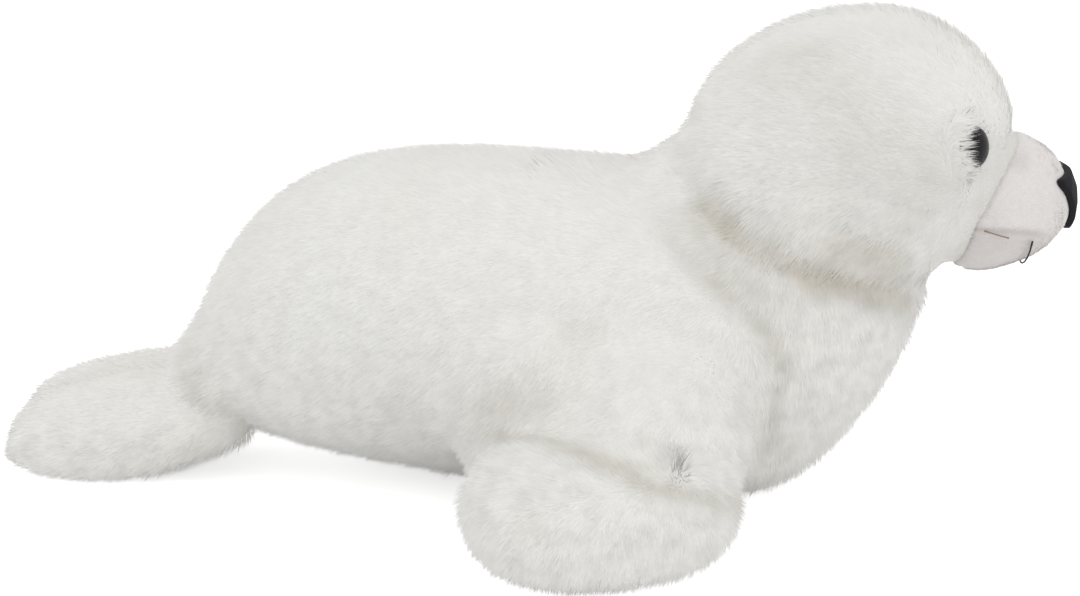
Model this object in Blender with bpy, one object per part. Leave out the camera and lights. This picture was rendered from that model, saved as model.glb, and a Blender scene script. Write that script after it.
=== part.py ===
"""A plush seal lying on its belly: stuffed cloth skins, safety eyes, a nose and a sewn smile.

Metres, +Z up. The nose points towards +X and the seal's left side lies at +Y. The belly,
the front paddles and the hind flippers rest on the plane Z = 0. Shapes are worked out in a
design frame that starts at the rump, and the whole seal is then centred on its length.
"""
import math

import bmesh
import bpy
from mathutils import Matrix, Vector
from mathutils.bvhtree import BVHTree

# Skins and clearances
GAP = 0.0003
LONG_PILE_SKIN = 0.0050
LONG_PILE_BACKING = 0.0016
SHORT_PILE_SKIN = 0.0026

# Body, from the rump to the chest
BODY_LENGTH = 0.290
BODY_HEIGHT = 0.1300
BODY_WIDTH = 0.140
BODY_SQUARENESS = 2.1

# Neck seam: a plane that faces up and forwards
NECK_ALONG = BODY_LENGTH * 0.845
NECK_ABOVE = BODY_HEIGHT * 0.831
NECK_SLOPE = math.radians(24.0)
NECK_STEP = 0.0008

# Head: an egg with its blunt end forwards, sitting on the neck seam
HEAD_RISE = 0.0341
HEAD_LEAN = 0.0086
HEAD_BACK = 0.0705
HEAD_FRONT = 0.0570
HEAD_WIDTH = 0.1180
HEAD_HEIGHT = 0.1080
HEAD_TILT = math.radians(2.0)
HEAD_SQUARENESS = 2.05

# Muzzle: a short-pile snout on the front of the head
MUZZLE_AHEAD = 0.0425
MUZZLE_BELOW = 0.0185
MUZZLE_LENGTH = 0.0700
MUZZLE_WIDTH = 0.0680
MUZZLE_HEIGHT = 0.0530
MUZZLE_DROOP = math.radians(2.0)
MUZZLE_SQUARENESS = 2.05

# Nose: a rounded triangle wrapped round the tip of the snout
NOSE_WIDTH = 0.0350
NOSE_HEIGHT = 0.0225
NOSE_FOOT = 0.0080
NOSE_THICKNESS = 0.0028
NOSE_CORNER = 0.0030

# Eyes, placed by angles from the middle of the head
EYE_DIAMETER = 0.0160
EYE_DOME = 0.0058
EYE_RIM = 0.0014
EYE_TURN = math.radians(47.0)
EYE_RISE = math.radians(11.0)
EYE_CLEARANCE = 0.0005

# Shanks and locking washers of the eyes and the nose
SHANK_DIAMETER = 0.0040
SHANK_LENGTH = 0.0110
WASHER_DIAMETER = 0.0150
WASHER_THICKNESS = 0.0016

# Threads, placed by angles from the middle of the muzzle
THREAD_DIAMETER = 0.0014
SMILE_OPENING = math.radians(55.0)
SMILE_SPREAD = math.radians(70.0)
CHEEK_STITCH_LENGTH = 0.0100
CHEEK_STITCH_TURN = math.radians(80.0)
CHEEK_STITCH_DROP = math.radians(6.0)

# Front flippers: an arm from the shoulder to the wrist, and a paddle flat on the floor
SHOULDER_ALONG = BODY_LENGTH * 0.621
SHOULDER_ASIDE = BODY_WIDTH * 0.307
SHOULDER_ABOVE = BODY_HEIGHT * 0.554
WRIST_ALONG = BODY_LENGTH * 0.631
WRIST_ASIDE = BODY_WIDTH / 2 + 0.0230
WRIST_ABOVE = 0.0270
ARM_WIDTH = 0.0880
ARM_THICKNESS = 0.0540
ARM_SQUARENESS = 2.1
PADDLE_LENGTH = 0.1020
PADDLE_WIDTH = 0.0820
PADDLE_THICKNESS = 0.0490
PADDLE_ALONG = BODY_LENGTH * 0.595
PADDLE_ASIDE = BODY_WIDTH / 2 + 0.0380
PADDLE_SPLAY = math.radians(24.0)
PADDLE_SQUARENESS = 2.4

# Hind flippers: two lobes side by side, rooted in the rump
LOBE_LENGTH = 0.1150
LOBE_TIP = 0.0420
LOBE_WIDTH = 0.0500
LOBE_THICKNESS = 0.0330
LOBE_SQUARENESS = 2.2
LOBE_ROOT_DEPTH = 0.0420
LOBE_ASIDE = 0.0170
LOBE_SPLAY = math.radians(1.0)
LOBE_PITCH = math.radians(13.0)
LOBE_ROLL = math.radians(42.0)
LOBE_ABOVE = 0.0185

# Facets
BODY_AROUND = 30
BODY_STEPS = 2
NECK_BLEND_RINGS = 7
HEAD_AROUND = 28
FLIPPER_AROUND = 20
LOBE_AROUND = 18
ROUND_AROUND = 20
SMILE_STEPS = 13
STITCH_STEPS = 5

# The body's outline, as shares of its length, height and width, from the rump to the neck
BACK_LINE = (
    (0.025, 0.525), (0.070, 0.700), (0.130, 0.848), (0.210, 0.940), (0.310, 0.988), (0.440, 0.992),
    (0.550, 0.980), (0.610, 0.974), (0.645, 0.972), (0.668, 0.974), (0.682, 0.980),
)
BELLY_LINE = (
    (0.040, 0.215), (0.090, 0.148), (0.150, 0.115), (0.230, 0.085), (0.340, 0.048), (0.460, 0.012),
    (0.580, -0.010), (0.700, -0.020), (0.815, 0.030), (0.905, 0.210), (0.968, 0.430),
)
HALF_WIDTHS = (0.15, 0.26, 0.36, 0.440, 0.485, 0.500, 0.500, 0.490, 0.465, 0.435, 0.405)
RUMP_HEIGHT = 0.34

# Colours
FUR_WHITE = (0.78, 0.77, 0.73)
SNOUT_WHITE = (0.80, 0.74, 0.69)
PADDING_WHITE = (0.85, 0.85, 0.85)
GLOSS_BLACK = (0.006, 0.006, 0.007)
MATTE_BLACK = (0.012, 0.012, 0.013)
WASHER_WHITE = (0.70, 0.70, 0.68)

UP = Vector((0, 0, 1))
FORWARD = Vector((1, 0, 0))
FLOOR = (Vector((0, 0, 0)), UP)
LEFT, RIGHT = 1, -1


def material(name, colour, roughness):
    """A Principled material of one colour."""
    made = bpy.data.materials.new(name)
    made.use_nodes = True
    shader = made.node_tree.nodes["Principled BSDF"]
    shader.inputs["Base Color"].default_value = (*colour, 1.0)
    shader.inputs["Roughness"].default_value = roughness
    shader.inputs["Metallic"].default_value = 0.0
    return made


def linked(name, data, finish=None):
    """An object in the scene; without a finish it is a cutter, which isn't part of the seal."""
    made = bpy.data.objects.new(name, data)
    bpy.context.scene.collection.objects.link(made)
    if finish is None:
        made.hide_render = True
        made.display_type = "WIRE"
    else:
        data.materials.append(finish)
    return made


def solid(name, bm, finish=None):
    """A mesh object from a bmesh, with its faces turned outwards and shaded smooth."""
    bmesh.ops.recalc_face_normals(bm, faces=bm.faces)
    mesh = bpy.data.meshes.new(name)
    bm.to_mesh(mesh)
    bm.free()
    mesh.shade_smooth()
    mesh.set_sharp_from_angle(angle=math.radians(50.0))
    return linked(name, mesh, finish)


def boolean(target, cutter, operation="DIFFERENCE"):
    """Cuts the target with a cutter, or joins it on, or keeps what lies inside it."""
    made = target.modifiers.new(cutter.name, "BOOLEAN")
    made.object = cutter
    made.operation = operation
    made.solver = "EXACT"


def ring_bmesh(rings, start=None, end=None):
    """Triangles between rings of points, each end closed by a point or, without one, left open.

    Every four points are split the same way, so that nested forms stay a constant gap apart.
    """
    bm = bmesh.new()
    rows = [[bm.verts.new(point) for point in ring] for ring in rings]
    around = len(rows[0])
    for row, following in zip(rows, rows[1:]):
        for i in range(around):
            j = (i + 1) % around
            bm.faces.new((row[i], row[j], following[j]))
            bm.faces.new((row[i], following[j], following[i]))
    for tip, row, turn in ((start, rows[0], -1), (end, rows[-1], 1)):
        if tip is not None:
            point = bm.verts.new(tip)
            for i in range(around):
                bm.faces.new((row[i], row[(i + turn) % around], point))
    return bm


def turned_bmesh(profile):
    """A solid turned about Z from (radius, height) points, its first and last on the axis."""
    rings = [
        [
            Vector((radius * math.cos(turn), radius * math.sin(turn), height))
            for turn in (math.tau * step / ROUND_AROUND for step in range(ROUND_AROUND))
        ]
        for radius, height in profile[1:-1]
    ]
    return ring_bmesh(rings, (0, 0, profile[0][1]), (0, 0, profile[-1][1]))


def stood(bm, place, normal):
    """A solid moved so that its own Z axis stands on a place along a normal."""
    turn = UP.rotation_difference(normal).to_matrix().to_4x4()
    bmesh.ops.transform(bm, matrix=Matrix.Translation(place) @ turn, verts=bm.verts)
    return bm


def half_space(name, place, normal):
    """A cutter that fills the side of a plane that its normal points to."""
    size = 2 * BODY_LENGTH
    bm = bmesh.new()
    bmesh.ops.create_cube(bm, size=size)
    bmesh.ops.translate(bm, vec=(0, 0, size / 2), verts=bm.verts)
    return solid(name, stood(bm, place, normal))


def squared(value, squareness):
    """A sine or cosine drawn towards a square, as on a superellipse."""
    return math.copysign(abs(value) ** (2.0 / squareness), value)


def turned_axes(yaw, pitch, roll=0.0):
    """Forward, sideways and upward axes: rolled, then pitched nose-down and then turned left."""
    turn = Matrix.Rotation(yaw, 3, "Z") @ Matrix.Rotation(pitch, 3, "Y")
    turn = turn @ Matrix.Rotation(roll, 3, "X")
    return [turn @ Vector(axis) for axis in ((1, 0, 0), (0, 1, 0), (0, 0, 1))]


class Blob:
    """A stuffed form: an egg about its first axis, squared a little and flattened by planes."""

    def __init__(self, centre, axes, front, back, half_width, half_height, around,
                 squareness=2.0, planes=()):
        self.centre = Vector(centre)
        self.axes = axes
        self.half_sizes = (front, back, half_width, half_height)
        self.around = around
        self.squareness = squareness
        self.planes = planes

    def bmesh(self, inset=0.0):
        """The closed surface, drawn in by the inset."""
        front, back, half_width, half_height = (size - inset for size in self.half_sizes)
        rows = self.around // 2
        rings = []
        for row in range(1, rows):
            angle = math.pi * row / rows
            cosine = squared(math.cos(angle), self.squareness)
            sine = squared(math.sin(angle), self.squareness)
            along = cosine * (front if cosine > 0 else back)
            ring = []
            for step in range(self.around):
                turn = math.tau * (step + 0.5) / self.around
                aside = sine * squared(math.cos(turn), self.squareness) * half_width
                above = sine * squared(math.sin(turn), self.squareness) * half_height
                ring.append(self.placed((along, aside, above), inset))
            rings.append(ring)
        return ring_bmesh(
            rings, self.placed((front, 0, 0), inset), self.placed((-back, 0, 0), inset)
        )

    def placed(self, local, inset):
        """A point of the form in the design frame, kept on the right side of each plane."""
        offsets = zip(self.axes, local)
        point = self.centre + sum((axis * offset for axis, offset in offsets), Vector())
        for plane_point, normal in self.planes:
            depth = (point - plane_point).dot(normal) - inset
            if depth < 0:
                point = point - normal * depth
        return point

    def surface(self, inset=0.0):
        """The surface as a tree that rays can be cast at."""
        bm = self.bmesh(inset)
        bm.normal_update()
        tree = BVHTree.FromBMesh(bm)
        bm.free()
        return tree

    def outer(self, name, finish=None):
        return solid(name, self.bmesh(), finish)

    def drawn_in(self, name, inset, finish=None):
        return solid(name, self.bmesh(inset), finish)


# The neck seam, and the forms of the head and the muzzle
NECK = Vector((NECK_ALONG, 0, NECK_ABOVE))
NECK_NORMAL = Vector((math.sin(NECK_SLOPE), 0, math.cos(NECK_SLOPE)))
NECK_FRONT = Vector((math.cos(NECK_SLOPE), 0, -math.sin(NECK_SLOPE)))

HEAD = Blob(
    NECK + NECK_NORMAL * HEAD_RISE + NECK_FRONT * HEAD_LEAN, turned_axes(0, -HEAD_TILT),
    HEAD_FRONT, HEAD_BACK, HEAD_WIDTH / 2, HEAD_HEIGHT / 2, HEAD_AROUND, HEAD_SQUARENESS,
)
MUZZLE = Blob(
    HEAD.centre + Vector((MUZZLE_AHEAD, 0, -MUZZLE_BELOW)), turned_axes(0, MUZZLE_DROOP),
    MUZZLE_LENGTH / 2, MUZZLE_LENGTH / 2, MUZZLE_WIDTH / 2, MUZZLE_HEIGHT / 2,
    HEAD_AROUND, MUZZLE_SQUARENESS,
)
HEAD_SURFACE = HEAD.surface()
MUZZLE_SURFACE = MUZZLE.surface()


def section_ring(back, belly, half_width):
    """One section of the body, through a point of its back and a point of its belly."""
    middle = (back + belly) / 2
    upward = (back - belly) / 2
    ring = []
    for step in range(BODY_AROUND):
        turn = math.tau * step / BODY_AROUND
        above = upward * squared(math.cos(turn), BODY_SQUARENESS)
        aside = Vector((0, half_width * squared(math.sin(turn), BODY_SQUARENESS), 0))
        ring.append(middle + above + aside)
    return ring


def neck_ring():
    """The head's own section in the plane of the neck seam."""
    ring = []
    for step in range(BODY_AROUND):
        turn = math.tau * step / BODY_AROUND
        outward = -NECK_FRONT * math.cos(turn) + Vector((0, math.sin(turn), 0))
        ring.append(HEAD_SURFACE.ray_cast(NECK, outward)[0])
    return ring


def smooth_rings(rings, tip, steps):
    """Rings on Catmull-Rom curves through the given ones, closed smoothly over the tip."""
    half = len(rings[0]) // 2
    beyond_tip = rings[0][half:] + rings[0][:half]
    beyond_end = [2 * b - a for a, b in zip(rings[-2], rings[-1])]
    rows = [beyond_tip, [tip] * len(rings[0]), *rings, beyond_end]
    made = []
    for before, first, second, after in zip(rows, rows[1:], rows[2:], rows[3:]):
        for step in range(1, steps + 1):
            t = step / steps
            weights = (
                -0.5 * t**3 + t**2 - 0.5 * t,
                1.5 * t**3 - 2.5 * t**2 + 1,
                -1.5 * t**3 + 2 * t**2 + 0.5 * t,
                0.5 * t**3 - 0.5 * t**2,
            )
            made.append([
                sum((weight * point for weight, point in zip(weights, points)), Vector())
                for points in zip(before, first, second, after)
            ])
    return made


def below_neck(rings):
    """Rings kept in order under the neck seam, each at least a step below the one after it."""
    made = []
    for number, ring in enumerate(rings):
        room = NECK_STEP * (len(rings) - 1 - number)
        heights = [(point - NECK).dot(NECK_NORMAL) + room for point in ring]
        made.append([
            point - NECK_NORMAL * max(0.0, height) for point, height in zip(ring, heights)
        ])
    return made


def body_rings():
    """The rump's point and the sections of the body's outer surface, up to the neck seam."""
    sections = [
        section_ring(
            Vector((back[0] * BODY_LENGTH, 0, back[1] * BODY_HEIGHT)),
            Vector((belly[0] * BODY_LENGTH, 0, belly[1] * BODY_HEIGHT)),
            width * BODY_WIDTH,
        )
        for back, belly, width in zip(BACK_LINE, BELLY_LINE, HALF_WIDTHS)
    ]
    rump = Vector((0, 0, RUMP_HEIGHT * BODY_HEIGHT))
    return rump, below_neck(smooth_rings([*sections, neck_ring()], rump, BODY_STEPS))


RUMP, BODY_RINGS = body_rings()


def body_drawn_in(depth):
    """The rump's point and the body's rings, drawn in along the surface's own normals.

    Towards the neck the rings are drawn in within their own planes, so that none crosses the seam.
    """
    bm = ring_bmesh(BODY_RINGS, start=RUMP)
    bm.verts.ensure_lookup_table()
    bm.normal_update()
    outward = 1.0 if bm.verts[-1].normal.x < 0 else -1.0
    normals = [vert.normal * outward for vert in bm.verts]
    bm.free()
    rings = []
    for number, ring in enumerate(BODY_RINGS):
        middle = sum(ring, Vector()) / BODY_AROUND
        share = max(0.0, 1 - (len(BODY_RINGS) - 1 - number) / NECK_BLEND_RINGS)
        first = number * BODY_AROUND
        drawn = []
        for point, normal in zip(ring, normals[first:first + BODY_AROUND]):
            outward_way = normal.lerp((point - middle).normalized(), share).normalized()
            moved = point - outward_way * depth
            moved.z = max(moved.z, depth)
            drawn.append(moved)
        rings.append(drawn)
    rings[-1] = [point - NECK_NORMAL * GAP / 2 for point in rings[-1]]
    return RUMP - normals[-1] * depth, rings


def body_form(name, depth, finish=None, collar=None):
    """The body's form drawn in by a depth, closed at the neck seam or a collar's length past it."""
    tip, rings = body_drawn_in(depth)
    if collar is not None:
        rings.append([point + NECK_NORMAL * collar for point in rings[-1]])
    middle = sum(rings[-1], Vector()) / BODY_AROUND
    return solid(name, ring_bmesh(rings, tip, middle), finish)


def seat(surface, start, direction):
    """The place and the outward normal where a ray from inside leaves a surface."""
    place, normal, _, _ = surface.ray_cast(start, direction)
    return place, normal if normal.dot(direction) > 0 else -normal


def outer_seat(surfaces, start, direction):
    """The seat on whichever surface the ray leaves last."""
    seats = [seat(surface, start, direction) for surface in surfaces]
    return max(seats, key=lambda found: (found[0] - start).length)


def flat_clearance(surface, place, normal, radius):
    """How far below a place a flat disc has to lie to clear a surface that bends round it."""
    turn = UP.rotation_difference(normal)
    deepest = 0.0
    for step in range(ROUND_AROUND):
        angle = math.tau * step / ROUND_AROUND
        rim = turn @ Vector((radius * math.cos(angle), radius * math.sin(angle), 0))
        start = place + rim - normal * radius * 2
        deepest = max(deepest, (place - surface.ray_cast(start, normal)[0]).dot(normal))
    return deepest


def washer(name, place, normal, top, finish):
    """A locking washer on a shank, its top face a depth below the place."""
    inner, outer = SHANK_DIAMETER / 2 + GAP, WASHER_DIAMETER / 2
    bottom = -top - WASHER_THICKNESS
    corners = ((inner, bottom), (outer, bottom), (outer, -top), (inner, -top), (inner, bottom))
    bm = turned_bmesh([(0, 0), *corners, (0, 0)])
    hubs = [vert for vert in bm.verts if math.hypot(vert.co.x, vert.co.y) < inner / 2]
    bmesh.ops.delete(bm, geom=hubs, context="VERTS")
    bmesh.ops.remove_doubles(bm, verts=bm.verts, dist=GAP / 30)
    return solid(name, stood(bm, place, normal), finish)


def fastener_room(name, place, normal, top, shank_foot):
    """The room for a washer and its shank in the stuffing, open to the outside."""
    washer_room = WASHER_DIAMETER / 2 + GAP
    shank_room = SHANK_DIAMETER / 2 + GAP
    bottom = -top - WASHER_THICKNESS - GAP
    foot = shank_foot - GAP
    profile = (
        (0, foot), (shank_room, foot), (shank_room, bottom), (washer_room, bottom),
        (washer_room, SHANK_LENGTH), (0, SHANK_LENGTH),
    )
    return solid(name, stood(turned_bmesh(profile), place, normal))


def eye(side, head_cover, muzzle_cover, head_stuffing, finishes):
    """A safety eye in its pocket in the pile, its shank through the cloth, and its washer."""
    name = "left" if side == LEFT else "right"
    outward = Vector((
        math.cos(EYE_RISE) * math.cos(EYE_TURN),
        side * math.cos(EYE_RISE) * math.sin(EYE_TURN),
        math.sin(EYE_RISE),
    ))
    place, normal = seat(HEAD_SURFACE, HEAD.centre, outward)
    floor = -(LONG_PILE_SKIN - LONG_PILE_BACKING)
    back = floor + GAP
    radius, shank = EYE_DIAMETER / 2, SHANK_DIAMETER / 2
    dome = [
        (radius * math.cos(angle), back + EYE_RIM + (EYE_DOME - EYE_RIM) * math.sin(angle))
        for angle in (math.radians(degrees) for degrees in (0, 20, 40, 60, 76))
    ]
    foot = back - SHANK_LENGTH
    profile = [
        (0, foot), (shank, foot), (shank, back), (radius, back), *dome, (0, back + EYE_DOME),
    ]
    solid(f"eye_{name}", stood(turned_bmesh(profile), place, normal), finishes["gloss_black"])

    pocket_radius = radius + EYE_CLEARANCE
    top = flat_clearance(
        HEAD.surface(LONG_PILE_SKIN), place, normal, WASHER_DIAMETER / 2
    ) + GAP
    pocket_profile = (
        (0, foot), (shank + GAP, foot), (shank + GAP, floor), (pocket_radius, floor),
        (pocket_radius, EYE_DIAMETER), (0, EYE_DIAMETER),
    )
    pocket = solid(f"cutter_eye_pocket_{name}", stood(turned_bmesh(pocket_profile), place, normal))
    boolean(head_cover, pocket)
    boolean(muzzle_cover, pocket)
    washer(f"eye_washer_{name}", place, normal, top, finishes["washer"])
    boolean(head_stuffing, fastener_room(f"cutter_eye_room_{name}", place, normal, top, foot))


def nose(muzzle_cover, head_stuffing, finishes):
    """The nose: a thick rounded triangle on the snout's tip, with a shank and a washer."""
    place, _ = seat(MUZZLE_SURFACE, MUZZLE.centre, FORWARD)
    reach = MUZZLE_LENGTH
    bm = bmesh.new()
    corners = [
        (-NOSE_FOOT / 2, -NOSE_HEIGHT / 2), (NOSE_FOOT / 2, -NOSE_HEIGHT / 2),
        (NOSE_WIDTH / 2, NOSE_HEIGHT / 2), (-NOSE_WIDTH / 2, NOSE_HEIGHT / 2),
    ]
    outline = [bm.verts.new((MUZZLE.centre.x, y, place.z + z)) for y, z in corners]
    face = bm.faces.new(outline)
    pulled = bmesh.ops.extrude_face_region(bm, geom=[face])["geom"]
    pulled_verts = [item for item in pulled if isinstance(item, bmesh.types.BMVert)]
    bmesh.ops.translate(bm, vec=(reach, 0, 0), verts=pulled_verts)
    long_edges = [edge for edge in bm.edges if abs(edge.calc_length() - reach) < GAP]
    bmesh.ops.bevel(
        bm, geom=long_edges, offset=NOSE_CORNER, offset_type="OFFSET", segments=4, profile=0.5,
        affect="EDGES",
    )
    made = solid("nose", bm, finishes["matte_black"])
    boolean(made, MUZZLE.drawn_in("cutter_nose_front", -NOSE_THICKNESS), "INTERSECT")
    boolean(made, MUZZLE.drawn_in("cutter_muzzle", -GAP))

    shank = SHANK_DIAMETER / 2
    foot = NOSE_THICKNESS / 2 - SHANK_LENGTH
    rod = ((0, foot), (shank, foot), (shank, NOSE_THICKNESS / 2), (0, NOSE_THICKNESS / 2))
    boolean(made, solid("cutter_nose_shank", stood(turned_bmesh(rod), place, FORWARD)), "UNION")
    hole = (
        (0, foot), (shank + GAP, foot), (shank + GAP, NOSE_THICKNESS), (0, NOSE_THICKNESS),
    )
    boolean(muzzle_cover, solid("cutter_nose_hole", stood(turned_bmesh(hole), place, FORWARD)))
    top = flat_clearance(
        MUZZLE.surface(SHORT_PILE_SKIN), place, FORWARD, WASHER_DIAMETER / 2
    ) + GAP
    washer("nose_washer", place, FORWARD, top, finishes["washer"])
    boolean(head_stuffing, fastener_room("cutter_nose_room", place, FORWARD, top, foot))


def thread(name, directions, finish):
    """A thread laid on the muzzle, or on the head where that lies further out."""
    curve = bpy.data.curves.new(name, "CURVE")
    curve.dimensions = "3D"
    curve.bevel_depth = THREAD_DIAMETER / 2
    curve.bevel_resolution = 2
    curve.use_fill_caps = True
    spline = curve.splines.new("POLY")
    spline.points.add(len(directions) - 1)
    for slot, direction in zip(spline.points, directions):
        place, normal = outer_seat((MUZZLE_SURFACE, HEAD_SURFACE), MUZZLE.centre, direction)
        slot.co = (*(place + normal * (THREAD_DIAMETER / 2 + GAP)), 1.0)
    return linked(name, curve, finish)


def threads(finish):
    """The smile, an arc under the snout, and the stitch at each corner of the mouth."""
    smile = []
    for step in range(SMILE_STEPS):
        around = SMILE_SPREAD * (2 * step / (SMILE_STEPS - 1) - 1)
        outward = Vector((0, math.sin(around), -math.cos(around)))
        smile.append(FORWARD * math.cos(SMILE_OPENING) + outward * math.sin(SMILE_OPENING))
    thread("mouth_thread", smile, finish)
    half_angle = CHEEK_STITCH_LENGTH / MUZZLE_WIDTH
    for side, name in ((LEFT, "left"), (RIGHT, "right")):
        stitch = []
        for step in range(STITCH_STEPS):
            turn = CHEEK_STITCH_TURN + half_angle * (1 - 2 * step / (STITCH_STEPS - 1))
            drop = CHEEK_STITCH_DROP * (1 + step / (STITCH_STEPS - 1))
            stitch.append(Vector((math.cos(turn), side * math.sin(turn), -math.sin(drop))))
        thread(f"cheek_stitch_{name}", stitch, finish)


def head(finishes):
    """The head's skin, the muzzle's skin and the stuffing that fills both."""
    head_cover = HEAD.outer("head_cover", finishes["long_pile"])
    muzzle_cover = MUZZLE.outer("muzzle_cover", finishes["short_pile"])
    head_stuffing = HEAD.drawn_in("head_stuffing", LONG_PILE_SKIN + GAP, finishes["padding"])
    head_room = HEAD.drawn_in("cutter_head", -GAP)
    muzzle_inside = MUZZLE.drawn_in("cutter_muzzle_inside", SHORT_PILE_SKIN)
    muzzle_filling = MUZZLE.drawn_in("cutter_muzzle_filling", SHORT_PILE_SKIN + GAP)
    below_neck = half_space("cutter_below_neck", NECK + NECK_NORMAL * GAP / 2, -NECK_NORMAL)
    boolean(head_cover, HEAD.drawn_in("cutter_head_inside", LONG_PILE_SKIN))
    boolean(head_cover, muzzle_inside)
    boolean(head_cover, below_neck)
    boolean(head_stuffing, muzzle_filling, "UNION")
    boolean(head_stuffing, below_neck)
    boolean(muzzle_cover, muzzle_inside)
    boolean(muzzle_cover, head_room)
    for side in (LEFT, RIGHT):
        eye(side, head_cover, muzzle_cover, head_stuffing, finishes)
    nose(muzzle_cover, head_stuffing, finishes)
    threads(finishes["thread"])
    return head_room


def stuffed_limb(name, forms, neighbours, finishes):
    """A skin and its stuffing from one or two joined forms, open where the neighbours cut them."""
    label, side = name
    cover = forms[0].outer(f"{label}_{side}", finishes["long_pile"])
    stuffing = forms[0].drawn_in(
        f"{label}_stuffing_{side}", LONG_PILE_SKIN + GAP, finishes["padding"]
    )
    for number, form in enumerate(forms[1:]):
        joined = f"cutter_{label}_{side}_{number}"
        boolean(cover, form.drawn_in(f"{joined}_outer", 0.0), "UNION")
        boolean(stuffing, form.drawn_in(f"{joined}_filling", LONG_PILE_SKIN + GAP), "UNION")
    for number, form in enumerate(forms):
        boolean(cover, form.drawn_in(f"cutter_{label}_{side}_inside_{number}", LONG_PILE_SKIN))
    for neighbour in neighbours:
        boolean(cover, neighbour)
        boolean(stuffing, neighbour)


def front_flipper(side, neighbours, finishes):
    """An arm that leaves the body's side and a paddle that lies on the floor."""
    shoulder = Vector((SHOULDER_ALONG, side * SHOULDER_ASIDE, SHOULDER_ABOVE))
    wrist = Vector((WRIST_ALONG, side * WRIST_ASIDE, WRIST_ABOVE))
    along = (wrist - shoulder).normalized()
    aside = (FORWARD - along * FORWARD.dot(along)).normalized()
    half_length = (wrist - shoulder).length / 2 + ARM_THICKNESS / 2
    arm = Blob(
        (shoulder + wrist) / 2, (along, aside, along.cross(aside)),
        half_length, half_length, ARM_WIDTH / 2, ARM_THICKNESS / 2,
        FLIPPER_AROUND, ARM_SQUARENESS, (FLOOR,),
    )
    paddle = Blob(
        (PADDLE_ALONG, side * PADDLE_ASIDE, PADDLE_THICKNESS / 2),
        turned_axes(-side * PADDLE_SPLAY, 0),
        PADDLE_LENGTH / 2, PADDLE_LENGTH / 2, PADDLE_WIDTH / 2, PADDLE_THICKNESS / 2,
        FLIPPER_AROUND, PADDLE_SQUARENESS, (FLOOR,),
    )
    name = ("front_flipper", "left" if side == LEFT else "right")
    stuffed_limb(name, (arm, paddle), neighbours, finishes)


def hind_flipper(side, neighbours, finishes):
    """A lobe that leaves the rump and droops to the floor, leaning against its twin."""
    axes = turned_axes(-side * LOBE_SPLAY, -LOBE_PITCH, -side * LOBE_ROLL)
    ahead = LOBE_LENGTH - LOBE_TIP
    centre = Vector((LOBE_ROOT_DEPTH - ahead, side * LOBE_ASIDE, LOBE_ABOVE))
    beside_twin = (Vector((0, side * GAP / 2, 0)), Vector((0, side, 0)))
    lobe = Blob(
        centre, axes, ahead, LOBE_TIP, LOBE_WIDTH / 2, LOBE_THICKNESS / 2,
        LOBE_AROUND, LOBE_SQUARENESS, (FLOOR, beside_twin),
    )
    name = ("hind_flipper", "left" if side == LEFT else "right")
    stuffed_limb(name, (lobe,), neighbours, finishes)


def centred():
    """Parents every object to an empty that brings the middle of the seal's length to X = 0."""
    bpy.context.view_layer.update()
    graph = bpy.context.evaluated_depsgraph_get()
    reach = []
    for made in bpy.data.objects:
        if not made.hide_render:
            shown = made.evaluated_get(graph)
            reach += [vert.co.x for vert in shown.to_mesh().vertices]
            shown.to_mesh_clear()
    frame = bpy.data.objects.new("seal", None)
    frame.location.x = -(min(reach) + max(reach)) / 2
    bpy.context.scene.collection.objects.link(frame)
    for made in bpy.data.objects:
        if made is not frame:
            made.parent = frame


def main():
    for old in list(bpy.data.objects):
        bpy.data.objects.remove(old)
    finishes = {
        "long_pile": material("long_pile", FUR_WHITE, 0.95),
        "short_pile": material("short_pile", SNOUT_WHITE, 0.95),
        "padding": material("padding", PADDING_WHITE, 1.0),
        "gloss_black": material("gloss_black", GLOSS_BLACK, 0.08),
        "matte_black": material("matte_black", MATTE_BLACK, 0.6),
        "thread": material("black_thread", MATTE_BLACK, 0.8),
        "washer": material("washer_plastic", WASHER_WHITE, 0.4),
    }
    cover = body_form("body_cover", 0.0, finishes["long_pile"])
    boolean(cover, body_form("cutter_body_inside", LONG_PILE_SKIN, collar=LONG_PILE_SKIN))
    body_form("body_stuffing", LONG_PILE_SKIN + GAP, finishes["padding"])
    body_room = body_form("cutter_body", -GAP)
    head_room = head(finishes)
    for side in (LEFT, RIGHT):
        front_flipper(side, (body_room, head_room), finishes)
        hind_flipper(side, (body_room,), finishes)
    centred()


main()
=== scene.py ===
"""The looks of the plush seal: filled skins under a long pile, a short-pile snout and its face.

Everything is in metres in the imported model's frame: the nose points towards +X, the seal's left
side lies at +Y and the floor is Z = 0.
"""
import math

import bmesh
import bpy
import numpy as np
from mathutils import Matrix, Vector, noise
from mathutils.bvhtree import BVHTree


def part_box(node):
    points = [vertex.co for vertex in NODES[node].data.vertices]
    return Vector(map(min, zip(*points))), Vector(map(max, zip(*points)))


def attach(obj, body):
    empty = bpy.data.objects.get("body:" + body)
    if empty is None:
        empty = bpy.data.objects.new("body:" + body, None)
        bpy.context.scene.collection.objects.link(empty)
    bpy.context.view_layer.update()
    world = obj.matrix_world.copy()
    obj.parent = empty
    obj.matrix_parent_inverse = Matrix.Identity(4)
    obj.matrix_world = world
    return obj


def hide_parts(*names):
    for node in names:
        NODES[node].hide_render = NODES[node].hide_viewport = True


bl_info = {
    "name": "Plush Seal",
    "version": (1, 0, 0),
    "blender": (4, 5, 0),
    "location": "View3D > Sidebar > Plush Seal",
    "description": "Builds the skins, pile, face and stage of a plush seal",
    "category": "Object",
}

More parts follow.
